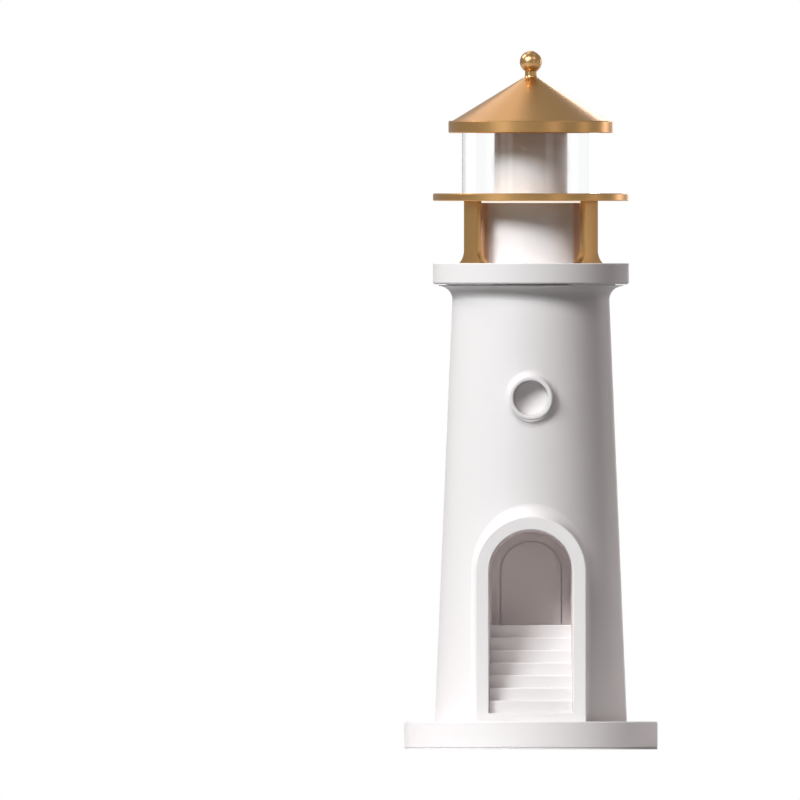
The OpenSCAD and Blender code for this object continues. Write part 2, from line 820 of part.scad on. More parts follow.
module button_bezel() {
    flange_r = button_pad_r - 0.8;
    bevel = 0.4;
    color(brass) translate([0, button_pad_y, z_button]) along_y() difference() {
        union() {
            translate([0, 0, -bezel_sleeve_l]) cylinder(r = bezel_sleeve_r, h = bezel_sleeve_l + eps);
            rotate_extrude() polygon([
                [0, 0], [flange_r, 0], [flange_r, bezel_flange_t - bevel],
                [flange_r - bevel, bezel_flange_t], [0, bezel_flange_t]
            ]);
        }
        translate([0, 0, -bezel_sleeve_l - over])
            cylinder(r = button_r + run_gap, h = bezel_sleeve_l + bezel_flange_t + 2 * over);
    }
}

module power_button() {
    height = button_pad_y + bezel_flange_t + button_proud - button_back_y;
    flange_r = button_r + 0.6;
    bevel = 0.5;
    dip = 0.3;
    color(white) translate([0, button_back_y, z_button]) along_y() {
        rotate_extrude() polygon([
            [0, 0], [flange_r, 0], [flange_r, button_flange_t], [button_r, button_flange_t],
            [button_r, height - bevel], [button_r - bevel, height], [0, height - dip]
        ]);
        translate([0, 0, switch_board_y - button_back_y + stem_clear])
            cylinder(r = stem_r, h = button_back_y - switch_board_y - stem_clear + eps);
    }
}

module tact_switch() {
    color(black) translate([0, switch_board_y, z_button]) difference() {
        translate([-switch_w / 2, 0, -switch_w / 2]) cube([switch_w, switch_d, switch_w]);
        translate([0, switch_floor_t, 0]) along_y() cylinder(r = stem_r + run_gap, h = switch_d);
    }
}

module switch_board() {
    color(board_green) difference() {
        translate([-switch_board_w / 2, switch_board_y - board_t, z_button - switch_board_h / 2])
            cube([switch_board_w, board_t, switch_board_h]);
        for (s = [-1, 1]) translate([s * switch_post_x, switch_board_y - board_t - over, z_button]) along_y()
            cylinder(r = small_screw_r + hole_gap, h = board_t + 2 * over);
    }
}

// Battery behind the stairs

module battery_cell() {
    cap_r = 3;
    cap_h = 1.2;
    color("slategray") translate([0, battery_y, z_battery]) {
        cylinder(r = battery_r, h = battery_l - cap_h);
        translate([0, 0, battery_l - cap_h - eps]) cylinder(r = cap_r, h = cap_h + eps);
    }
}

// A trough that is open to the front, with a plate at each end that is screwed to the tower's wall
module battery_cradle() {
    trough_r = battery_r + battery_gap;
    end_t = 2;
    lip = 2;
    z0 = z_battery - end_t - battery_gap;
    z1 = z_battery + battery_l + end_t + battery_gap;
    zp0 = cradle_post_z[0] - cradle_plate_end;
    zp1 = cradle_post_z[1] + cradle_plate_end;
    y_plate = cradle_back_y - cradle_plate_t;
    color(black) difference() {
        union() {
            translate([0, battery_y, z0]) cylinder(r = trough_r + cradle_wall, h = z1 - z0);
            translate([-cradle_plate_w / 2, battery_y + battery_r / 2, zp0])
                cube([cradle_plate_w, cradle_back_y - battery_y - battery_r / 2, zp1 - zp0]);
        }
        translate([0, battery_y, z_battery - battery_gap])
            cylinder(r = trough_r, h = battery_l + 2 * battery_gap);
        translate([-battery_r * 2, battery_y - lip - 3 * battery_r, z0 - over])
            cube([battery_r * 4, 3 * battery_r, z1 - z0 + 2 * over]);
        translate([-cradle_plate_w / 2 - over, battery_y, zp0 - over])
            cube([cradle_plate_w + 2 * over, y_plate - battery_y, z0 - zp0 + over]);
        translate([-cradle_plate_w / 2 - over, battery_y, z1])
            cube([cradle_plate_w + 2 * over, y_plate - battery_y, zp1 - z1 + over]);
        for (z = cradle_post_z)
            translate([0, 0, z]) along_y() cylinder(r = small_screw_r + hole_gap, h = cradle_back_y + over);
    }
}

// The small screws of every board and of the battery cradle
module board_screws() {
    color(steel) {
        for (s = [-1, 1]) translate([s * main_post_x, main_post_y, z_main_board])
            screw(small_screw_r, board_t + board_grip, board_head_h);
        for (s = [-1, 1]) translate([s * switch_post_x, switch_board_y - board_t, z_button]) along_y()
            screw(small_screw_r, board_t + small_grip, small_head_h);
        for (z = cradle_post_z) translate([0, cradle_back_y - cradle_plate_t, z]) along_y()
            screw(small_screw_r, cradle_plate_t + small_grip, small_head_h);
    }
}

// Swivel between the tower and the head

stop_post_r = 1.5;
bush_below = 1;
stop_reach = 3;
collar_w = 4;
collar_r = hub_r + collar_w;
stop_ring = collar_r + stop_post_r + 1;

module swivel_plate() {
    z0 = z_ledge;
    color(steel) difference() {
        union() {
            translate([0, 0, z0]) cylinder(r = neck_bore_r - hole_gap, h = plate_t);
            at_azimuth(0, stop_ring) translate([0, 0, z0 - bush_below - stop_reach])
                cylinder(r = stop_post_r, h = bush_below + stop_reach + eps);
        }
        translate([0, 0, z0 - over]) cylinder(r = hub_r + bush_wall + seat_gap, h = plate_t + 2 * over);
        ring_of(plate_screw_az, plate_screw_ring) {
            translate([0, 0, z0 - over]) cylinder(r = small_screw_r + hole_gap, h = plate_t + 2 * over);
            translate([0, 0, z_plate_head])
                cylinder(r = head_ratio * small_screw_r + head_gap, h = over + small_head_h);
        }
    }
}

module plate_screws() {
    color(steel) ring_of(plate_screw_az, plate_screw_ring)
        translate([0, 0, z_plate_head]) mirror([0, 0, 1])
            screw(small_screw_r, z_plate_head - z_ledge + small_grip, small_head_h);
}

module swivel_bush() {
    flange_r = hub_r + bush_wall + 3;
    color("ivory") rotate_extrude() polygon([
        [hub_r + run_gap, z_ledge - bush_below],
        [hub_r + bush_wall, z_ledge - bush_below],
        [hub_r + bush_wall, z_ledge + plate_t],
        [flange_r, z_ledge + plate_t],
        [flange_r, z_deck0],
        [hub_r + run_gap, z_deck0]
    ]);
}

hub_flange_w = 5;
hub_flange_r = hub_r + hub_flange_w;
hub_flange_t = 2;
hub_screw_ring = (hub_r + hub_flange_r) / 2;
hub_screw_az = [0, 120, 240];
z_collar = z_ledge - bush_below - 0.1;
z_hub0 = z_collar - collar_h - 0.5;

module swivel_hub() {
    color(steel) difference() {
        union() {
            translate([0, 0, z_hub0]) cylinder(r = hub_r, h = z_deck - z_hub0);
            translate([0, 0, z_deck - hub_flange_t]) cylinder(r = hub_flange_r, h = hub_flange_t);
        }
        translate([0, 0, z_hub0 - over]) cylinder(r = hub_r - hub_wall, h = z_deck - z_hub0 + 2 * over);
        ring_of(hub_screw_az, hub_screw_ring)
            translate([0, 0, z_deck - hub_flange_t - over])
                cylinder(r = small_screw_r + hole_gap, h = hub_flange_t + 2 * over);
    }
}

module stop_collar() {
    color(steel) difference() {
        union() {
            translate([0, 0, z_collar - collar_h]) cylinder(r = collar_r, h = collar_h);
            translate([-stop_tab_w / 2, 0, z_collar - collar_h])
                cube([stop_tab_w, stop_ring + stop_post_r, collar_h]);
        }
        translate([0, 0, z_collar - collar_h - over])
            cylinder(r = hub_r + seat_gap, h = collar_h + 2 * over);
        translate([0, -collar_r - over, z_collar - collar_h / 2]) along_y()
            cylinder(r = small_screw_r + seat_gap, h = collar_r);
    }
}

module collar_screw() {
    inset = 0.2;
    length = collar_w - inset - 0.1;
    color(steel) translate([0, -collar_r + inset, z_collar - collar_h / 2]) along_y() difference() {
        cylinder(r = small_screw_r, h = length);
        translate([0, 0, -over]) cylinder(r = drive_ratio * small_screw_r, h = over + length / 4, $fn = 6);
    }
}

// Gallery

drum_boss_r = 2.4;
drum_screw_ring = drum_r - drum_wall - drum_boss_r + 0.2;
drum_screw_az = [60, 180, 300];
z_drum = z_ring0 - glow_h;
drum_top_t = 2;
column_screw_ring = 8.4;
column_screw_az = [0, 120, 240];
driver_post_ring = 11;
driver_post_az = [30, 150, 270];
driver_post_h = 5;
driver_board_r = driver_post_ring + post_r + 1;
column_floor_t = 2.5;
column_screw_l = drum_top_t + glow_h + ring_h + column_floor_t - hole_spare;
deck_sink = 2;
bracket_sink = 1.5;
bracket_screw_inset = 1.2;
dowel_h = 1.3;
bracket_az = [45, 135, 225, 315];
bracket_screw_x = bracket_w / 2 - bracket_screw_inset;
bracket_mid_r = bracket_face_r - bracket_t / 2;
pad_r = 12;

module gallery_deck() {
    color(white) difference() {
        translate([0, 0, z_deck0]) bevelled_disc(deck_r, deck_h, deck_low_bevel, deck_bevel);
        translate([0, 0, z_deck0 - over]) cylinder(r = hub_r + seat_gap, h = deck_h + 2 * over);
        translate([0, 0, z_deck - hub_flange_t])
            cylinder(r = hub_flange_r + seat_gap, h = hub_flange_t + over);
        ring_of(hub_screw_az, hub_screw_ring)
            translate([0, 0, z_deck - hub_flange_t - small_hole_d])
                cylinder(r = small_screw_r + seat_gap, h = small_hole_d + over);
        ring_of(drum_screw_az, drum_screw_ring) {
            translate([0, 0, z_deck0 - over]) cylinder(r = small_screw_r + hole_gap, h = deck_h + 2 * over);
            translate([0, 0, z_deck0 - over])
                cylinder(r = head_ratio * small_screw_r + head_gap, h = over + deck_sink);
        }
        ring_of(bracket_az, bracket_mid_r) for (s = [-1, 1]) translate([s * bracket_screw_x, 0, 0]) {
            translate([0, 0, z_deck0 - over])
                cylinder(r = fine_screw_r + fine_hole_gap, h = deck_h + 2 * over);
            translate([0, 0, z_deck0 - over])
                cylinder(r = head_ratio * fine_screw_r + hole_gap, h = over + bracket_sink);
        }
    }
}

// The screws that hold the hub, the drum, the driver board and the column
module head_screws() {
    color(steel) {
        ring_of(hub_screw_az, hub_screw_ring)
            translate([0, 0, z_deck]) mirror([0, 0, 1])
                screw(small_screw_r, hub_flange_t + small_grip, small_head_h);
        ring_of(drum_screw_az, drum_screw_ring)
            translate([0, 0, z_deck0 + deck_sink])
                screw(small_screw_r, deck_h - deck_sink + small_grip, small_head_h);
        ring_of(driver_post_az, driver_post_ring)
            translate([0, 0, z_drum - drum_top_t - driver_post_h - board_t])
                screw(small_screw_r, board_t + small_grip, small_head_h);
        ring_of(column_screw_az, column_screw_ring)
            translate([0, 0, z_drum - drum_top_t])
                screw(small_screw_r, column_screw_l, small_head_h);
    }
}

module head_drum() {
    color(white) difference() {
        union() {
            difference() {
                translate([0, 0, z_deck]) cylinder(r = drum_r, h = z_drum - z_deck);
                translate([0, 0, z_deck - over])
                    cylinder(r = drum_r - drum_wall, h = z_drum - z_deck - drum_top_t + over);
            }
            translate([0, 0, z_drum - eps]) cylinder(r = pad_r, h = glow_h + eps);
            ring_of(drum_screw_az, drum_screw_ring)
                translate([0, 0, z_deck]) cylinder(r = drum_boss_r, h = small_hole_d + drum_top_t);
            ring_of(driver_post_az, driver_post_ring)
                translate([0, 0, z_drum - drum_top_t - driver_post_h])
                    cylinder(r = post_r, h = driver_post_h + eps);
        }
        translate([0, 0, z_drum - drum_top_t - over])
            cylinder(r = cable_hole_r, h = drum_top_t + glow_h + 2 * over);
        ring_of(drum_screw_az, drum_screw_ring)
            translate([0, 0, z_deck - over]) cylinder(r = small_screw_r + seat_gap, h = over + small_hole_d);
        ring_of(driver_post_az, driver_post_ring)
            translate([0, 0, z_drum - drum_top_t - driver_post_h - over])
                cylinder(r = small_screw_r + seat_gap, h = over + small_hole_d);
        ring_of(column_screw_az, column_screw_ring)
            translate([0, 0, z_drum - drum_top_t - over])
                cylinder(r = small_screw_r + hole_gap, h = drum_top_t + glow_h + 2 * over);
    }
}

module driver_board() {
    z0 = z_drum - drum_top_t - driver_post_h - board_t;
    driver_chip = [8, 5, 1.4];
    coil = [3, 5, 1];
    driver_chip_at = [-4, 4];
    coil_at = [-8, -6];
    color(board_green) difference() {
        union() {
            translate([0, 0, z0]) cylinder(r = driver_board_r, h = board_t);
            translate([driver_chip_at[0], driver_chip_at[1], z0 + board_t - eps])
                cube(driver_chip + [0, 0, eps]);
            translate([coil_at[0], coil_at[1], z0 + board_t - eps]) cube(coil + [0, 0, eps]);
        }
        translate([0, 0, z0 - over]) cylinder(r = cable_hole_r - 1, h = board_t + 2 * over);
        ring_of(driver_post_az, driver_post_ring)
            translate([0, 0, z0 - over]) cylinder(r = small_screw_r + hole_gap, h = board_t + 2 * over);
    }
}

module glow_ring() {
    color(frost) translate([0, 0, z_drum]) difference() {
        cylinder(r = drum_r, h = glow_h);
        translate([0, 0, -over]) cylinder(r = pad_r + 1, h = glow_h + 2 * over);
    }
}

// One bracket at the front of the deck: its face and its side are both drawn and crossed
module bracket() {
    side_arc = flare_arc(flare_w, flare_h);
    in_arc = flare_arc(flare_in, flare_in_h);
    half_foot = bracket_w / 2 + flare_w;
    difference() {
        intersection() {
            translate([0, -bracket_face_r + bracket_t + flare_in, z_deck]) rotate([90, 0, 0])
                linear_extrude(bracket_t + flare_in) difference() {
                    union() {
                        translate([-bracket_w / 2, 0]) square([bracket_w, gallery_h]);
                        translate([-half_foot, 0]) square([2 * half_foot, flare_h]);
                    }
                    for (s = [-1, 1]) translate([s * (bracket_w / 2 + side_arc), flare_h])
                        circle(r = side_arc);
                }
            translate([-half_foot - over, -bracket_face_r, z_deck]) rotate([90, 0, 90])
                linear_extrude(2 * half_foot + 2 * over) difference() {
                    union() {
                        square([bracket_t, gallery_h]);
                        square([bracket_t + flare_in, flare_in_h]);
                    }
                    translate([bracket_t + in_arc, flare_in_h]) circle(r = in_arc);
                }
        }
        for (s = [-1, 1]) translate([s * bracket_screw_x, -bracket_mid_r, z_deck - over])
            cylinder(r = fine_screw_r + seat_gap, h = over + bracket_grip + hole_spare);
    }
    translate([0, -bracket_mid_r, z_ring0 - eps]) cylinder(r = fine_screw_r, h = dowel_h + eps);
}

module bracket_front_right() {
    color(brass) rotate([0, 0, bracket_az[0]]) bracket();
}

module bracket_rear_right() {
    color(brass) rotate([0, 0, bracket_az[1]]) bracket();
}

module bracket_rear_left() {
    color(brass) rotate([0, 0, bracket_az[2]]) bracket();
}

module bracket_front_left() {
    color(brass) rotate([0, 0, bracket_az[3]]) bracket();
}

module bracket_screws() {
    color(steel) for (a = bracket_az) at_azimuth(a, bracket_mid_r) for (s = [-1, 1])
        translate([s * bracket_screw_x, 0, z_deck0 + bracket_sink])
            screw(fine_screw_r, deck_h - bracket_sink + bracket_grip, fine_head_h);
}

glass_in_r = glass_r - glass_t;
groove_gap = 0.15;
seal_h = 0.4;
dowel_spare = 0.2;

// The groove for the glass, as a ring of height h
module groove(h) {
    difference() {
        cylinder(r = glass_r + groove_gap, h = h);
        translate([0, 0, -over]) cylinder(r = glass_in_r - groove_gap, h = h + 2 * over);
    }
}

module gallery_ring() {
    color(brass) difference() {
        translate([0, 0, z_ring0]) bevelled_disc(deck_r, ring_h, ring_bevel, ring_bevel);
        translate([0, 0, z_ring0 - over]) cylinder(r = cable_hole_r, h = ring_h + 2 * over);
        ring_of(column_screw_az, column_screw_ring)
            translate([0, 0, z_ring0 - over]) cylinder(r = small_screw_r + hole_gap, h = ring_h + 2 * over);
        translate([0, 0, z_ring - groove_d]) groove(groove_d + over);
        ring_of(bracket_az, bracket_mid_r)
            translate([0, 0, z_ring0 - over])
                cylinder(r = fine_screw_r + seat_gap, h = over + dowel_h + dowel_spare);
    }
}

// Lantern

z_glass0 = z_ring - groove_d + seal_h;
roof_plate_inset = 0.6;
roof_plate_z = z_rim0 + roof_plate_inset;
roof_plate_t = 2.2;
z_glass1 = roof_plate_z + groove_d - seal_h;

module lower_glass_seal() {
    color(black) translate([0, 0, z_ring - groove_d]) difference() {
        cylinder(r = glass_r, h = seal_h);
        translate([0, 0, -over]) cylinder(r = glass_in_r, h = seal_h + 2 * over);
    }
}

module lantern_glass() {
    color(clear) translate([0, 0, z_glass0]) difference() {
        cylinder(r = glass_r, h = z_glass1 - z_glass0);
        translate([0, 0, -over]) cylinder(r = glass_in_r, h = z_glass1 - z_glass0 + 2 * over);
    }
}

module upper_glass_seal() {
    color(black) translate([0, 0, z_glass1]) difference() {
        cylinder(r = glass_r, h = seal_h);
        translate([0, 0, -over]) cylinder(r = glass_in_r, h = seal_h + 2 * over);
    }
}

// Projector inside the column; it looks out to the rear

column_cap_t = 2.4;
column_in_r = column_r - column_wall;
barrel_r = barrel_bore_r + barrel_wall;
barrel_lift = 2;
z_lens = z_ring + column_floor_t + barrel_r + barrel_lift;
barrel_y0 = 1.8;
barrel_y1 = column_r - 0.3;
condenser_y = -1.6;
condenser_t = 2.4;
condenser_gap = 0.1;
lens_stop_w = 0.6;
led_y = -3.8;
sink_w = 13;
sink_below = 7;
z_column_cap = roof_plate_z - column_cap_t;

module projector_column() {
    color(white) difference() {
        translate([0, 0, z_ring]) cylinder(r = column_r, h = roof_plate_z - z_ring);
        translate([0, 0, z_ring + column_floor_t]) cylinder(r = column_in_r, h = lantern_h + over);
        translate([0, 0, z_ring - over]) cylinder(r = cable_hole_r, h = column_floor_t + 2 * over);
        ring_of(column_screw_az, column_screw_ring)
            translate([0, 0, z_ring - over])
                cylinder(r = small_screw_r + seat_gap, h = column_floor_t + 2 * over);
        translate([0, 0, z_lens]) along_y() cylinder(r = barrel_r + seat_gap, h = column_r + over);
    }
}

module column_cap() {
    color(white) translate([0, 0, z_column_cap]) difference() {
        cylinder(r = column_in_r - seat_gap, h = column_cap_t);
        translate([0, 0, -over]) cylinder(r = screw_r + seat_gap, h = column_cap_t + 2 * over);
    }
}

module optics_cradle() {
    z0 = z_ring + column_floor_t;
    y1 = barrel_y0 + 6;
    color(black) difference() {
        translate([-barrel_r - 1, led_y, z0]) cube([2 * barrel_r + 2, y1 - led_y, z_lens - z0]);
        translate([0, barrel_y0, z_lens]) along_y() cylinder(r = barrel_r + seat_gap, h = y1);
        translate([0, led_y - over, z_lens]) along_y()
            cylinder(r = barrel_bore_r - lens_stop_w, h = barrel_y0 - led_y + 2 * over);
        translate([0, condenser_y - condenser_gap, z_lens]) along_y()
            cylinder(r = barrel_bore_r + seat_gap, h = condenser_t + 2 * condenser_gap);
        translate([0, 0, z0 - over]) cylinder(r = cable_hole_r - 1, h = over + barrel_lift);
    }
}

module lens_barrel() {
    color(black) translate([0, barrel_y0, z_lens]) along_y() difference() {
        cylinder(r = barrel_r, h = barrel_y1 - barrel_y0);
        translate([0, 0, -over]) cylinder(r = barrel_bore_r, h = barrel_y1 - barrel_y0 + 2 * over);
    }
}

// Half of a lens of radius r on the plane z = 0: its edge is edge_t thick and its top is round
module lens_half(r, edge_t, curve_r) {
    drop = sqrt(curve_r * curve_r - r * r);
    intersection() {
        cylinder(r = r, h = edge_t + curve_r - drop);
        translate([0, 0, edge_t - drop]) sphere(r = curve_r);
    }
}

condenser_edge_t = 1.2;
condenser_curve_r = 12;
projection_edge_t = 0.6;
projection_curve_r = 14;

module condenser_lens() {
    color(clear) translate([0, condenser_y, z_lens]) along_y() lens_half(barrel_bore_r, condenser_edge_t, condenser_curve_r);
}

module projection_lens() {
    color(clear) translate([0, barrel_y1 - 3, z_lens]) {
        for (m = [0, 1]) mirror([0, m, 0]) along_y() lens_half(barrel_bore_r - seat_gap, projection_edge_t, projection_curve_r);
    }
}

module picture_slide() {
    slide_t = 0.5;
    color("lightyellow") translate([0, barrel_y0 + slide_t, z_lens]) along_y()
        cylinder(r = barrel_bore_r - seat_gap, h = slide_t);
}

module projector_board() {
    chip_w = 3;
    chip_t = 0.7;
    color(board_green) translate([-sink_w / 2, led_y - board_t, z_lens - sink_below])
        cube([sink_w, board_t, sink_w]);
    color("khaki") translate([-chip_w / 2, led_y - eps, z_lens - chip_w / 2])
        cube([chip_w, chip_t + eps, chip_w]);
}

module heat_sink() {
    fin_t = 0.8;
    fin_n = 6;
    fins_w = 10;
    fin_y0 = -sqrt(pow(column_in_r, 2) - pow(fins_w / 2, 2)) + 0.6;
    y1 = led_y - board_t;
    base_t = 1.4;
    pitch = (fins_w - fin_t) / (fin_n - 1);
    color(steel) translate([0, 0, z_lens - sink_below]) {
        translate([-sink_w / 2, y1 - base_t, 0]) cube([sink_w, base_t, sink_w]);
        for (i = [0 : fin_n - 1])
            translate([-fins_w / 2 + i * pitch, fin_y0, 0])
                cube([fin_t, y1 - base_t - fin_y0 + eps, sink_w]);
    }
}

// Roof

rim_wall = 1.4;
plate_edge_gap = 0.1;
neck_flare_w = 1;

module roof_plate() {
    color(brass) difference() {
        translate([0, 0, roof_plate_z]) cylinder(r = rim_r - rim_wall - plate_edge_gap, h = roof_plate_t);
        translate([0, 0, roof_plate_z - over]) groove(over + groove_d);
        translate([0, 0, roof_plate_z - over]) cylinder(r = screw_r + hole_gap, h = roof_plate_t + 2 * over);
    }
}

// Section of the roof: rim, ledge, cone and the hollow flare into the neck
module roof_section() {
    flare_r = flare_arc(neck_flare_w, neck_flare_h);
    z_shoulder = roof_plate_z + roof_plate_t;
    in_top_r = 2.6;
    cone_in_r = cone_r - roof_wall * 1.3;
    difference() {
        polygon([
            [rim_r - rim_wall, z_rim0], [rim_r - rim_bevel, z_rim0], [rim_r, z_rim0 + rim_bevel],
            [rim_r, z_rim - rim_bevel], [rim_r - rim_bevel, z_rim], [cone_r, z_rim],
            [neck_r + neck_flare_w, z_cone - neck_flare_h],
            [neck_r + neck_flare_w, z_cone], [0, z_cone],
            [0, z_cone - neck_flare_h - roof_wall],
            [in_top_r, z_cone - neck_flare_h - roof_wall],
            [cone_in_r, z_shoulder],
            [rim_r - rim_wall, z_shoulder]
        ]);
        translate([neck_r + flare_r, z_cone]) circle(r = flare_r);
        translate([-over, z_rim0 - over]) square([over + screw_r + hole_gap, z_cone - z_rim0 + 2 * over]);
    }
}

module roof_cap() {
    color(brass) rotate_extrude() roof_section();
}

rod_end = 2.6;
rod_grip = neck_h + rod_end;
rod_spare = 0.3;

module tie_rod() {
    color(steel) translate([0, 0, z_column_cap]) cylinder(r = screw_r, h = z_cone + rod_grip - z_column_cap);
}

module finial_ball() {
    z_ball = z_cone + neck_h + sqrt(ball_r * ball_r - neck_r * neck_r);
    color(brass) difference() {
        union() {
            translate([0, 0, z_cone]) cylinder(r = neck_r, h = neck_h + 1);
            translate([0, 0, z_ball]) sphere(r = ball_r);
        }
        translate([0, 0, z_cone - over]) cylinder(r = screw_r + seat_gap, h = over + rod_grip + rod_spare);
    }
}

foot_ring();
base_cover();
cover_screws();
base_shell();
ballast_plate();
main_board();
usb_socket();
tower_shell();
tower_screws();
door_frame();
niche_liner();
niche_back_wall();
staircase();
arched_diffuser();
stair_light_board();
board_screws();
porthole_ring();
porthole_dish();
porthole_light_board();
button_bezel();
power_button();
tact_switch();
switch_board();
battery_cell();
battery_cradle();
swivel_plate();
plate_screws();
swivel_bush();
swivel_hub();
stop_collar();
collar_screw();
gallery_deck();
head_screws();
head_drum();
driver_board();
glow_ring();
bracket_front_right();
bracket_rear_right();
bracket_rear_left();
bracket_front_left();
bracket_screws();
gallery_ring();
lower_glass_seal();
lantern_glass();
upper_glass_seal();
projector_column();
column_cap();
optics_cradle();
lens_barrel();
condenser_lens();
projection_lens();
picture_slide();
projector_board();
heat_sink();
roof_plate();
roof_cap();
tie_rod();
finial_ball();
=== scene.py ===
import json
import math

import bpy
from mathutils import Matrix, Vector


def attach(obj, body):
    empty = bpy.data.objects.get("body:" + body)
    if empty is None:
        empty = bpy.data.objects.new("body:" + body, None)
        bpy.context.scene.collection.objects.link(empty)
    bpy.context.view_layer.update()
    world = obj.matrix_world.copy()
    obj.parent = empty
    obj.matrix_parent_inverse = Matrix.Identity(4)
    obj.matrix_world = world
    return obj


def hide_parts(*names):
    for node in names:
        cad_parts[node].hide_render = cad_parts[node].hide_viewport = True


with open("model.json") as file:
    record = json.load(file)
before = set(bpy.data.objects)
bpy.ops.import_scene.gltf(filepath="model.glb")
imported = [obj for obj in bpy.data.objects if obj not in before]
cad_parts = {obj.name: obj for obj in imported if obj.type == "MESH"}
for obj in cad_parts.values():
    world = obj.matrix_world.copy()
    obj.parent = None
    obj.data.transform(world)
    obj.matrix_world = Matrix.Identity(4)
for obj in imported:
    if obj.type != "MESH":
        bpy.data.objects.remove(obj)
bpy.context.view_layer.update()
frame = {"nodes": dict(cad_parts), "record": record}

for picked in list(bpy.context.selected_objects):
    picked.select_set(False)


# Node trees

def add(tree, kind, links=None, **values):
    """One node with its links. A named value in small letters is a setting, and any other is an input's."""
    node = tree.nodes.new(kind)
    settings = {k: v for k, v in values.items() if k.islower()}
    for key, value in settings.items():
        setattr(node, key, value)
    for key, value in values.items():
        if key not in settings:
            node.inputs[key.replace("_", " ")].default_value = value
    for key, source in (links or {}).items():
        tree.links.new(source, node.inputs[key])
    return node


def new_group(name, inputs, outputs):
    """An empty node group with its named sockets, and its two end nodes."""
    group = bpy.data.node_groups.new(name, "ShaderNodeTree")
    kinds = {"vector": "NodeSocketVector", "value": "NodeSocketFloat"}
    for label, kind in inputs:
        group.interface.new_socket(label, in_out="INPUT", socket_type=kinds[kind])
    for label, kind in outputs:
        group.interface.new_socket(label, in_out="OUTPUT", socket_type=kinds[kind])
    return group, group.nodes.new("NodeGroupInput"), group.nodes.new("NodeGroupOutput")


def use_group(tree, group, links, **values):
    """Places a shared group in a material."""
    node = tree.nodes.new("ShaderNodeGroup")
    node.node_tree = group
    for key, value in values.items():
        node.inputs[key.replace("_", " ")].default_value = value
    for key, source in links.items():
        tree.links.new(source, node.inputs[key])
    return node


def make_fine_grain():
    """The fine matte grain of moulded plastic: a small height, and a slow drift of tone over the piece."""
    group, start, end = new_group(
        "fine moulded grain",
        [("Place", "vector"), ("Grains per metre", "value"), ("Drift", "value")],
        [("Height", "value"), ("Tone", "value")],
    )
    grain = add(group, "ShaderNodeTexNoise", {"Vector": start.outputs["Place"],
                "Scale": start.outputs["Grains per metre"]}, Detail=2.0, Roughness=0.55)
    drift = add(group, "ShaderNodeTexNoise", {"Vector": start.outputs["Place"]}, Scale=14.0, Detail=3.0)
    centred = add(group, "ShaderNodeMath", {0: drift.outputs["Fac"]}, operation="SUBTRACT")
    centred.inputs[1].default_value = 0.5
    tone = add(group, "ShaderNodeMath", {0: centred.outputs[0], 1: start.outputs["Drift"]},
               operation="MULTIPLY_ADD")
    tone.inputs[2].default_value = 1.0
    group.links.new(grain.outputs["Fac"], end.inputs["Height"])
    group.links.new(tone.outputs[0], end.inputs["Tone"])
    return group


def make_turned_marks():
    """The fine rings that a lathe leaves round the upright axis, and the patches where they are finer."""
    group, start, end = new_group(
        "turned marks",
        [("Place", "vector"), ("Rings per metre", "value")],
        [("Height", "value"), ("Patches", "value")],
    )
    parts = add(group, "ShaderNodeSeparateXYZ", {0: start.outputs["Place"]})
    flat = add(group, "ShaderNodeCombineXYZ", {"X": parts.outputs["X"], "Y": parts.outputs["Y"]})
    radius = add(group, "ShaderNodeVectorMath", {0: flat.outputs[0]}, operation="LENGTH")
    angle = add(group, "ShaderNodeMath", {0: parts.outputs["Y"], 1: parts.outputs["X"]}, operation="ARCTAN2")
    slow = add(group, "ShaderNodeMath", {0: angle.outputs[0]}, operation="MULTIPLY")
    slow.inputs[1].default_value = 0.0002
    rings = add(group, "ShaderNodeCombineXYZ", {"X": radius.outputs["Value"], "Y": parts.outputs["Z"],
                "Z": slow.outputs[0]})
    marks = add(group, "ShaderNodeTexNoise", {"Vector": rings.outputs[0],
                "Scale": start.outputs["Rings per metre"]}, Detail=3.0, Roughness=0.6)
    patches = add(group, "ShaderNodeTexNoise", {"Vector": start.outputs["Place"]}, Scale=60.0, Detail=4.0)
    group.links.new(marks.outputs["Fac"], end.inputs["Height"])
    group.links.new(patches.outputs["Fac"], end.inputs["Patches"])
    return group


def make_brushed_lines():
    """Fine straight lines along the upright axis, as a sanding belt leaves them."""
    group, start, end = new_group(
        "brushed lines",
        [("Place", "vector"), ("Lines per metre", "value")],
        [("Height", "value"), ("Patches", "value")],
    )
    long = add(group, "ShaderNodeVectorMath", {0: start.outputs["Place"]}, operation="MULTIPLY")
    long.inputs[1].default_value = (1.0, 1.0, 0.03)
    lines = add(group, "ShaderNodeTexNoise", {"Vector": long.outputs[0],
                "Scale": start.outputs["Lines per metre"]}, Detail=3.0, Roughness=0.6)
    patches = add(group, "ShaderNodeTexNoise", {"Vector": start.outputs["Place"]}, Scale=60.0, Detail=4.0)
    group.links.new(lines.outputs["Fac"], end.inputs["Height"])
    group.links.new(patches.outputs["Fac"], end.inputs["Patches"])
    return group


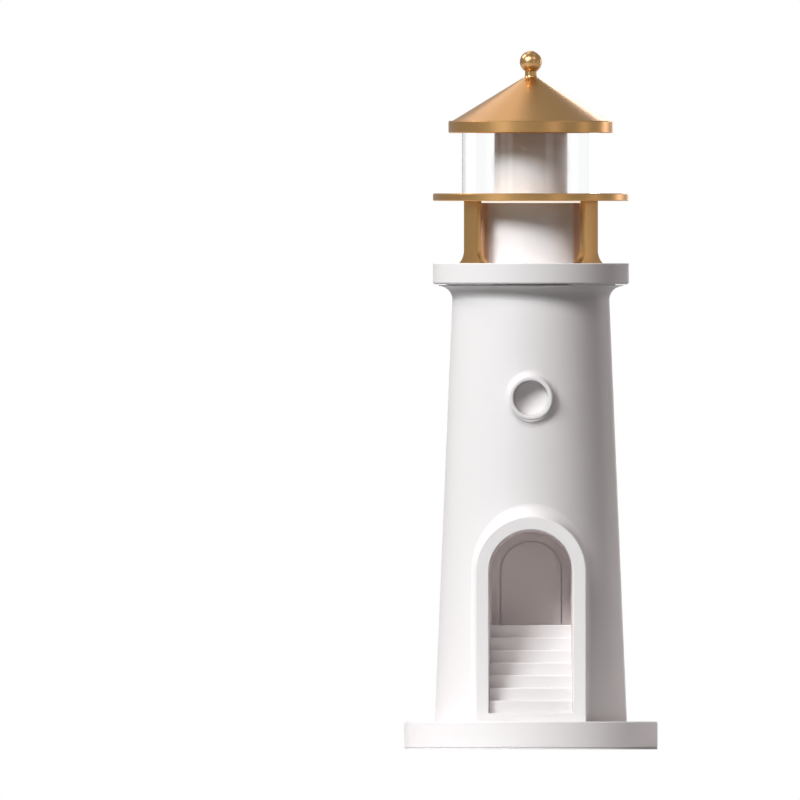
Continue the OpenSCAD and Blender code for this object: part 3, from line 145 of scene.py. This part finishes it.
def make_painted_glow_mask():
    """A mask that is nought up to a length from the middle on any axis and one past a second on all, which
    places painted shade and painted reflection.
    """
    group, start, end = new_group(
        "painted glow mask",
        [("Place", "vector"), ("Start", "vector"), ("End", "vector")],
        [("Mask", "value")],
    )
    place, lows, highs = (add(group, "ShaderNodeSeparateXYZ", {0: start.outputs[label]})
                          for label in ("Place", "Start", "End"))
    masks = []
    for axis in "XYZ":
        away = add(group, "ShaderNodeMath", {0: place.outputs[axis]}, operation="ABSOLUTE")
        span = {"Value": away.outputs[0], "From Min": lows.outputs[axis], "From Max": highs.outputs[axis]}
        masks.append(add(group, "ShaderNodeMapRange", span, interpolation_type="SMOOTHSTEP").outputs[0])
    flat = add(group, "ShaderNodeMath", {0: masks[0], 1: masks[1]}, operation="MULTIPLY")
    mask = add(group, "ShaderNodeMath", {0: flat.outputs[0], 1: masks[2]}, operation="MULTIPLY")
    group.links.new(mask.outputs[0], end.inputs["Mask"])
    return group


fine_grain = make_fine_grain()
turned_marks = make_turned_marks()
brushed_lines = make_brushed_lines()
painted_glow_mask = make_painted_glow_mask()


# Materials

def blank(name):
    """A material with its shader, and the place on the piece that its patterns read."""
    material = bpy.data.materials.new(name)
    material.use_nodes = True
    tree = material.node_tree
    tree.nodes.clear()
    out = tree.nodes.new("ShaderNodeOutputMaterial")
    shader = tree.nodes.new("ShaderNodeBsdfPrincipled")
    tree.links.new(shader.outputs[0], out.inputs["Surface"])
    place = tree.nodes.new("ShaderNodeTexCoord").outputs["Object"]
    return material, tree, shader, place


def between(tree, factor, low, high):
    """A value that goes from low to high with the factor."""
    span = add(tree, "ShaderNodeMapRange", {"Value": factor}, To_Min=low, To_Max=high)
    return span.outputs[0]


def tint(tree, colour, tone):
    """A colour made a little lighter or darker by a tone."""
    scaled = add(tree, "ShaderNodeVectorMath", {"Scale": tone}, operation="SCALE")
    scaled.inputs[0].default_value = colour
    return scaled.outputs[0]


def raise_surface(tree, shader, height, depth):
    """Joins a height to the shader's normal. The depth is in metres."""
    bump = add(tree, "ShaderNodeBump", {"Height": height}, Strength=1.0, Distance=depth)
    tree.links.new(bump.outputs[0], shader.inputs["Normal"])


def moulded(name, colour, grains, depth, drift, rough):
    """Moulded plastic or rubber with a fine grain: grains per metre, their depth, the drift of its tone."""
    material, tree, shader, place = blank(name)
    grain = use_group(tree, fine_grain, {"Place": place}, Grains_per_metre=grains, Drift=drift)
    tree.links.new(tint(tree, colour, grain.outputs["Tone"]), shader.inputs["Base Color"])
    tree.links.new(between(tree, grain.outputs["Height"], *rough), shader.inputs["Roughness"])
    raise_surface(tree, shader, grain.outputs["Height"], depth)
    return material


def metal(name, group, per_metre, colour, worn, depth, rough):
    """A metal with lathe rings or brushed lines and slow patches of a slightly different tone."""
    material, tree, shader, place = blank(name)
    scale_name = "Rings per metre" if group is turned_marks else "Lines per metre"
    marks = use_group(tree, group, {"Place": place})
    marks.inputs[scale_name].default_value = per_metre
    mix = add(tree, "ShaderNodeMix", {"Factor": marks.outputs["Patches"]}, data_type="RGBA")
    mix.inputs["A"].default_value = (*colour, 1.0)
    mix.inputs["B"].default_value = (*worn, 1.0)
    tree.links.new(mix.outputs["Result"], shader.inputs["Base Color"])
    tree.links.new(between(tree, marks.outputs["Patches"], *rough), shader.inputs["Roughness"])
    raise_surface(tree, shader, marks.outputs["Height"], depth)
    shader.inputs["Metallic"].default_value = 1.0
    return material


def make_circuit_board():
    """Green solder mask with paler copper tracks under it."""
    material, tree, shader, place = blank("green circuit board")
    tracks = add(tree, "ShaderNodeTexBrick", {"Vector": place}, Scale=320.0, Mortar_Size=0.06,
                 Color1=(0.012, 0.11, 0.045, 1), Color2=(0.014, 0.13, 0.055, 1),
                 Mortar=(0.05, 0.27, 0.11, 1))
    tree.links.new(tracks.outputs["Color"], shader.inputs["Base Color"])
    grain = use_group(tree, fine_grain, {"Place": place}, Grains_per_metre=1500.0, Drift=0.05)
    tree.links.new(between(tree, grain.outputs["Height"], 0.28, 0.4), shader.inputs["Roughness"])
    raise_surface(tree, shader, tracks.outputs["Fac"], 0.00003)
    return material


def make_lantern_glass():
    """Clear blown glass with very faint upright waves."""
    material, tree, shader, place = blank("clear lantern glass")
    wave = use_group(tree, brushed_lines, {"Place": place}, Lines_per_metre=130.0)
    raise_surface(tree, shader, wave.outputs["Height"], 0.00002)
    shader.inputs["Base Color"].default_value = (0.985, 0.99, 0.99, 1)
    shader.inputs["Roughness"].default_value = 0.0
    shader.inputs["IOR"].default_value = 1.45
    shader.inputs["Transmission Weight"].default_value = 1.0
    return material


def make_lens_glass():
    """Clear coated lens glass."""
    material, tree, shader, place = blank("clear lens glass")
    dust = use_group(tree, fine_grain, {"Place": place}, Grains_per_metre=900.0, Drift=0.0)
    tree.links.new(between(tree, dust.outputs["Height"], 0.0, 0.04), shader.inputs["Roughness"])
    shader.inputs["Base Color"].default_value = (0.97, 0.98, 1.0, 1)
    shader.inputs["IOR"].default_value = 1.5
    shader.inputs["Transmission Weight"].default_value = 1.0
    return material


def white_with_painted_glow(name, colour, painted_glow_colour, start, end):
    """The shell's white with a painted warm tone between two distances: painted shade and painted reflection
    of the brass beside it.
    """
    material, tree, shader, place = blank(name)
    grains, depth, drift, rough = shell_grain
    grain = use_group(tree, fine_grain, {"Place": place}, Grains_per_metre=grains, Drift=drift)
    painted_glow = use_group(tree, painted_glow_mask, {"Place": place}, Start=start, End=end)
    mix = add(tree, "ShaderNodeMix", {"Factor": painted_glow.outputs["Mask"]}, data_type="RGBA")
    mix.inputs["A"].default_value = (*colour, 1.0)
    mix.inputs["B"].default_value = (*painted_glow_colour, 1.0)
    toned = add(tree, "ShaderNodeVectorMath", {0: mix.outputs["Result"], "Scale": grain.outputs["Tone"]},
                operation="SCALE")
    tree.links.new(toned.outputs[0], shader.inputs["Base Color"])
    tree.links.new(between(tree, grain.outputs["Height"], *rough), shader.inputs["Roughness"])
    raise_surface(tree, shader, grain.outputs["Height"], depth)
    return material


def make_light_ring():
    """A frosted diffuser that shows a thin line of warm light."""
    material, tree, shader, place = blank("lit frosted ring")
    grain = use_group(tree, fine_grain, {"Place": place}, Grains_per_metre=2200.0, Drift=0.02)
    tree.links.new(tint(tree, (0.9, 0.87, 0.82), grain.outputs["Tone"]), shader.inputs["Base Color"])
    tree.links.new(tint(tree, (1.0, 0.95, 0.86), grain.outputs["Tone"]), shader.inputs["Emission Color"])
    shader.inputs["Emission Strength"].default_value = 0.8
    shader.inputs["Roughness"].default_value = 0.6
    return material


def make_slide_film():
    """Plain tinted film."""
    material, tree, shader, place = blank("plain tinted film")
    grain = use_group(tree, fine_grain, {"Place": place}, Grains_per_metre=5000.0, Drift=0.2)
    tree.links.new(tint(tree, (0.8, 0.7, 0.35), grain.outputs["Tone"]), shader.inputs["Base Color"])
    shader.inputs["Roughness"].default_value = 0.15
    return material


# What several finishes share: the shell's grain and gloss, the grain of frosted pieces, and the brass
shell_grain = (3200.0, 0.000012, 0.03, (0.42, 0.52))
frosted_grain = (4200.0, 0.000008, 0.02)
# A warm white that paints the warm tint of shade light onto the niche and the frosted panels: painted shade.
warm_shade_white = (0.84, 0.775, 0.765)
brass = ((0.59, 0.35, 0.142), (0.55, 0.315, 0.12), 0.0000035, (0.27, 0.34))

finishes = {
    "white_shell": moulded("matte white shell", (0.80, 0.79, 0.785), *shell_grain),
    "satin_brass": metal("satin turned brass", turned_marks, 5200.0, *brass),
    "polished_brass": metal("polished brass", turned_marks, 2600.0, (0.60, 0.37, 0.17), (0.54, 0.32, 0.13),
                            0.000001, (0.23, 0.28)),
    "steel": metal("plain steel", brushed_lines, 3000.0, (0.42, 0.43, 0.45), (0.36, 0.37, 0.39),
                   0.000004, (0.28, 0.4)),
    "heat_sink_aluminium": metal("bare aluminium", brushed_lines, 3500.0, (0.62, 0.63, 0.65),
                                 (0.55, 0.56, 0.58), 0.000004, (0.3, 0.42)),
    "foot_rubber": moulded("pale foot rubber", (0.76, 0.75, 0.745), 2600.0, 0.00005, 0.05, (0.7, 0.85)),
    "seal_rubber": moulded("clear silicone seal", (0.55, 0.55, 0.54), 1600.0, 0.00001, 0.05, (0.35, 0.5)),
    "circuit_board": make_circuit_board(),
    "black_plastic": moulded("fine matte black plastic", (0.011, 0.011, 0.012), 3400.0, 0.00002, 0.2,
                             (0.48, 0.6)),
    "bush_plastic": moulded("natural acetal", (0.78, 0.75, 0.66), 2400.0, 0.00001, 0.03, (0.3, 0.4)),
    "frosted_panel": moulded("frosted white panel with painted warm shade", warm_shade_white, *frosted_grain, (0.5, 0.6)),
    "light_ring": make_light_ring(),
    "battery_wrap": moulded("plain shrink sleeve", (0.10, 0.13, 0.19), 900.0, 0.00001, 0.1, (0.18, 0.3)),
    "lantern_glass": make_lantern_glass(),
    "lens_glass": make_lens_glass(),
    "slide_film": make_slide_film(),
}
brushed_brass = metal("satin brushed brass", brushed_lines, 4600.0, *brass)
# The frame is a lighter copy of the shell white: painted light on its face.
frame_painted_light_white = moulded("frame white painted lighter", (0.86, 0.85, 0.845), *shell_grain)
# The niche's white carries the painted warm shade.
niche_painted_shade_white = moulded("niche white with painted warm shade", warm_shade_white, *shell_grain)

# Painted shade and painted reflection of the brass on the column's top and on the drum behind each bracket.
# Lengths below nought leave an axis out.
# The column is painted darker and cooler than the shell, as painted shade for the light that the glass holds
# back. Its top band is painted brown, as the roof's painted shadow with the brass's painted reflection.
column_painted_shade_white = white_with_painted_glow("column white with painted shade", (0.61, 0.635, 0.675), (0.44, 0.34, 0.28),
                                (-2.0, -2.0, 0.2085), (-1.0, -1.0, 0.2165))
# The drum is painted lighter than the shell as painted light. Behind each bracket it is painted brown, as
# the bracket's painted shadow with its brass reflection.
drum_painted_light_white = white_with_painted_glow("drum white with painted light and reflection", (0.84, 0.83, 0.828), (0.66, 0.36, 0.19),
                              (0.0143, 0.0105, -2.0), (0.0160, 0.0122, -1.0))
porthole_white = moulded("frosted white porthole", (0.70, 0.685, 0.68), *frosted_grain, (0.42, 0.52))
special = {
    "projector_column": column_painted_shade_white,
    "head_drum": drum_painted_light_white,
    "niche_liner": niche_painted_shade_white,
    "niche_back_wall": niche_painted_shade_white,
    "porthole_dish": porthole_white,
}
slot_of = {part["node"]: part["material_slot"] for part in frame["record"]["subparts"]}
for name, piece in frame["nodes"].items():
    finish = special.get(name, finishes[slot_of[name]])
    if not piece.data.materials:
        piece.data.materials.append(finish)
    for slot in piece.material_slots:
        slot.material = finish


# Solids that are drawn here with smoother curves or softer edges

merge_distance = 0.000002
front_facing = -0.9999
edge_angle = math.radians(40)
edge_segments = 3


def refined(node, body, finish, angle, edge=0.0):
    """A copy of a solid with its loose triangles merged and its curves smooth up to an angle in degrees.

    The rim of its flat front stays sharp. Edges are rounded by the last value, where it isn't nought.
    """
    source = frame["nodes"][node]
    piece = bpy.data.objects.new(node + "_refined", source.data.copy())
    bpy.context.scene.collection.objects.link(piece)
    bpy.ops.object.select_all(action="DESELECT")
    piece.select_set(True)
    bpy.context.view_layer.objects.active = piece
    bpy.ops.mesh.customdata_custom_splitnormals_clear()
    bpy.ops.object.mode_set(mode="EDIT")
    bpy.ops.mesh.select_all(action="SELECT")
    bpy.ops.mesh.remove_doubles(threshold=merge_distance)
    bpy.ops.mesh.select_mode(type="FACE")
    bpy.ops.mesh.select_all(action="DESELECT")
    bpy.ops.object.mode_set(mode="OBJECT")
    for face in piece.data.polygons:
        face.select = face.normal.y < front_facing
    bpy.ops.object.mode_set(mode="EDIT")
    bpy.ops.mesh.region_to_loop()
    bpy.ops.mesh.mark_sharp()
    bpy.ops.mesh.select_mode(type="VERT")
    bpy.ops.object.mode_set(mode="OBJECT")
    if edge > 0.0:
        rounding = piece.modifiers.new("rounding", "BEVEL")
        rounding.limit_method = "ANGLE"
        rounding.angle_limit = edge_angle
        rounding.width = edge
        rounding.segments = edge_segments
        bpy.ops.object.modifier_apply(modifier="rounding")
    bpy.ops.object.shade_smooth_by_angle(angle=math.radians(angle), keep_sharp_edges=True)
    piece.data.materials.clear()
    piece.data.materials.append(finish)
    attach(piece, body)
    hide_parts(node)


moulded_angle = 24
bracket_angle = 50
bracket_edge = 0.0003
refined("door_frame", "tower", frame_painted_light_white, moulded_angle)
refined("porthole_ring", "tower", finishes["white_shell"], moulded_angle)
for side in ("front_right", "rear_right", "rear_left", "front_left"):
    refined("bracket_" + side, "head", brushed_brass, bracket_angle, bracket_edge)


# Two flat rings: a black ring in the slit under the turning deck as painted shade, and the foot pad out to
# the base's edge

ring_sides = 128
ring_angle = math.radians(30)


def flat_ring(name, low, high, inner, outer, body, slot):
    """A flat ring between two heights and two radii, in metres."""
    bpy.ops.mesh.primitive_circle_add(vertices=ring_sides, radius=outer, fill_type="NOTHING",
                                      location=(0, 0, 0))
    ring = bpy.context.object
    ring.name = name
    bpy.ops.object.mode_set(mode="EDIT")
    bpy.ops.mesh.select_all(action="SELECT")
    bpy.ops.transform.translate(value=(0, 0, low))
    share = inner / outer
    bpy.ops.mesh.extrude_region_move()
    bpy.ops.transform.resize(value=(share, share, 1), center_override=(0, 0, low))
    bpy.ops.mesh.select_all(action="SELECT")
    bpy.ops.mesh.extrude_region_move(TRANSFORM_OT_translate={"value": (0, 0, high - low)})
    bpy.ops.mesh.select_all(action="SELECT")
    bpy.ops.mesh.normals_make_consistent(inside=False)
    bpy.ops.object.mode_set(mode="OBJECT")
    bpy.ops.object.shade_smooth_by_angle(angle=ring_angle)
    ring.data.materials.append(finishes[slot])
    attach(ring, body)
    return ring


def underside(node):
    """The height of a CAD node's lowest point."""
    return min(point.co.z for point in frame["nodes"][node].data.vertices)


deck_under = underside("gallery_deck")
# The black ring in the slit is painted shade: it stands in for the shadow between the deck and the tower.
shade_ring_bottom, shade_ring_top = deck_under - 0.00028, deck_under - 0.00004
shade_ring_inner, shade_ring_outer = 0.0240, 0.0300
flat_ring("slit_shade_ring", shade_ring_bottom, shade_ring_top, shade_ring_inner, shade_ring_outer, "tower", "black_plastic")
pad_inner, pad_outer = 0.0360, 0.0449
foot_pad = flat_ring("foot_pad", 0.0, underside("base_shell"), pad_inner, pad_outer, "tower", "foot_rubber")
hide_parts("foot_ring")


# Lamplight and reflected light reach what stands inside the clear lantern as they do through real glass

for name in ("lantern_glass", "projection_lens", "condenser_lens"):
    frame["nodes"][name].visible_shadow = False
    frame["nodes"][name].visible_diffuse = False


# Camera, as far away and as level as the photograph was taken

metres_per_pixel = 0.00035520
photograph_pixels = 800
camera_place = (-0.0465, -1.0, 0.1241)
camera = bpy.data.objects.new("camera", bpy.data.cameras.new("camera"))
bpy.context.scene.collection.objects.link(camera)
camera.data.type = "ORTHO"
camera.data.ortho_scale = photograph_pixels * metres_per_pixel
camera.location = camera_place
camera.rotation_euler = (math.radians(90), 0, 0)
camera.data.clip_start = 0.01
camera.data.clip_end = 20.0
bpy.context.scene.camera = camera


# Studio: a pale floor, a white backdrop and soft lamps

# How much of the white studio shows in metal
metal_sees = 0.42
# The floor: its fade to white starts and ends at these distances from the middle
floor_radius = 1.2
floor_sides = 96
floor_fade = (0.10, 0.45)
floor_tone = (0.78, 0.78, 0.78)
# The share of its tone that the floor throws back as light, near the middle and far from it
bounce_reach = (0.07, 0.22)
bounce_near = 0.85
bounce_far = 0.05


def seen_directly(tree):
    """One for the camera and through glass, a share of it in metal, and nothing for all other light."""
    path = tree.nodes.new("ShaderNodeLightPath")
    unlit = add(tree, "ShaderNodeMath", {0: path.outputs["Diffuse Depth"]}, operation="LESS_THAN")
    unlit.inputs[1].default_value = 0.5
    in_glass = add(tree, "ShaderNodeMath", {0: path.outputs["Is Transmission Ray"], 1: unlit.outputs[0]},
                   operation="MULTIPLY")
    metal_share = add(tree, "ShaderNodeMath", {0: path.outputs["Is Glossy Ray"]}, operation="MULTIPLY")
    metal_share.inputs[1].default_value = metal_sees
    either = add(tree, "ShaderNodeMath", {0: in_glass.outputs[0], 1: metal_share.outputs[0]},
                 operation="MAXIMUM")
    seen = add(tree, "ShaderNodeMath", {0: path.outputs["Is Camera Ray"], 1: either.outputs[0]},
               operation="MAXIMUM")
    return seen.outputs[0]


def make_floor():
    """A pale round floor under the lamp that keeps its shadow and turns white further out."""
    bpy.ops.mesh.primitive_circle_add(vertices=floor_sides, radius=floor_radius, fill_type="NGON",
                                      location=(0, 0, 0))
    floor = bpy.context.object
    floor.name = "floor"
    material = bpy.data.materials.new("pale studio floor")
    material.use_nodes = True
    tree = material.node_tree
    tree.nodes.clear()
    out = tree.nodes.new("ShaderNodeOutputMaterial")
    white = add(tree, "ShaderNodeEmission", Color=(1, 1, 1, 1), Strength=1.0)
    place = tree.nodes.new("ShaderNodeTexCoord").outputs["Object"]
    far = add(tree, "ShaderNodeVectorMath", {0: place}, operation="LENGTH")
    path = tree.nodes.new("ShaderNodeLightPath")
    bounce = add(tree, "ShaderNodeMapRange", {"Value": far.outputs["Value"]}, From_Min=bounce_reach[0],
                 From_Max=bounce_reach[1], To_Min=bounce_near, To_Max=bounce_far)
    tone = add(tree, "ShaderNodeMix", {"Factor": path.outputs["Is Diffuse Ray"], "B": bounce.outputs[0]},
               data_type="FLOAT")
    tone.inputs["A"].default_value = 1.0
    grey = add(tree, "ShaderNodeVectorMath", {"Scale": tone.outputs["Result"]}, operation="SCALE")
    grey.inputs[0].default_value = floor_tone
    pale = add(tree, "ShaderNodeBsdfDiffuse", {"Color": grey.outputs[0]})
    fade = add(tree, "ShaderNodeMapRange", {"Value": far.outputs["Value"]}, From_Min=floor_fade[0],
               From_Max=floor_fade[1], interpolation_type="SMOOTHSTEP")
    part = add(tree, "ShaderNodeMath", {0: fade.outputs[0], 1: seen_directly(tree)}, operation="MULTIPLY")
    mix = add(tree, "ShaderNodeMixShader", {"Fac": part.outputs[0], 1: pale.outputs[0], 2: white.outputs[0]})
    tree.links.new(mix.outputs[0], out.inputs["Surface"])
    floor.data.materials.append(material)


def make_world():
    """White to the camera and through glass, fainter in metal, and black to all other light."""
    world = bpy.data.worlds.new("studio")
    bpy.context.scene.world = world
    world.use_nodes = True
    tree = world.node_tree
    tree.nodes.clear()
    out = tree.nodes.new("ShaderNodeOutputWorld")
    white = add(tree, "ShaderNodeBackground", Color=(1, 1, 1, 1), Strength=1.0)
    black = add(tree, "ShaderNodeBackground", Color=(0, 0, 0, 1), Strength=1.0)
    mix = add(tree, "ShaderNodeMixShader", {"Fac": seen_directly(tree), 1: black.outputs[0],
              2: white.outputs[0]})
    tree.links.new(mix.outputs[0], out.inputs["Surface"])


# Each lamp: azimuth from the front towards the right, height angle, width, height, power and colour
aim = Vector((0, 0, 0.13))
lamp_distance = 1.6
cool = (0.965, 0.995, 1.01)
warm = (1.10, 0.975, 0.975)
lamps = {
    "key_low": (-36, 6, 0.28, 0.40, 0.32, cool),
    "key_low_left": (-48, 6, 0.28, 0.40, 0.23, cool),
    "key": (-36, 33, 0.28, 0.40, 11.1, cool),
    "key_left": (-48, 33, 0.28, 0.40, 10.5, cool),
    "front_right": (32, 5, 0.40, 0.60, 0.45, warm),
    "side_right": (48, 5, 0.40, 0.60, 0.14, warm),
    "right_edge": (80, 5, 0.40, 0.60, 0.45, warm),
    "back_right_1": (128, 5, 0.40, 0.60, 1.7, warm),
    "back_right_2": (145, 5, 0.40, 0.60, 2.2, warm),
    "back_right_bright": (145, 5, 0.40, 0.60, 1.2, warm),
    "back_right_3": (165, 5, 0.40, 0.60, 1.4, warm),
    "high_back": (-170, 42, 0.60, 0.60, 1.5, warm),
    "high_left": (-110, 42, 0.60, 0.60, 8.2, warm),
    "high_front": (-20, 42, 0.60, 0.60, 6.6, warm),
    "high_right": (40, 42, 0.60, 0.60, 1.7, warm),
    "top_back": (-140, 68, 0.60, 0.50, 1.2, warm),
    "top_right": (100, 68, 0.60, 0.50, 0.35, warm),
    "cone_edge": (167, 22, 0.30, 0.30, 1.2, warm),
}
# These don't show in the brass
dull_lamps = ("back_right_2", "side_right")


def make_lamp(name, azimuth, rise, width, height, power, colour):
    """A soft rectangular lamp that faces the middle of the tower."""
    data = bpy.data.lights.new(name, "AREA")
    data.shape = "RECTANGLE"
    data.size, data.size_y = width, height
    data.energy = power
    data.color = colour
    a, e = math.radians(azimuth), math.radians(rise)
    lamp = bpy.data.objects.new(name, data)
    bpy.context.scene.collection.objects.link(lamp)
    towards = Vector((math.sin(a) * math.cos(e), -math.cos(a) * math.cos(e), math.sin(e)))
    lamp.location = aim + lamp_distance * towards
    lamp.rotation_euler = (-towards).to_track_quat("-Z", "Y").to_euler()
    lamp.visible_camera = False
    lamp.visible_glossy = name not in dull_lamps


make_floor()
make_world()
for name, values in lamps.items():
    make_lamp(name, *values)

bpy.context.scene.view_settings.view_transform = "Standard"
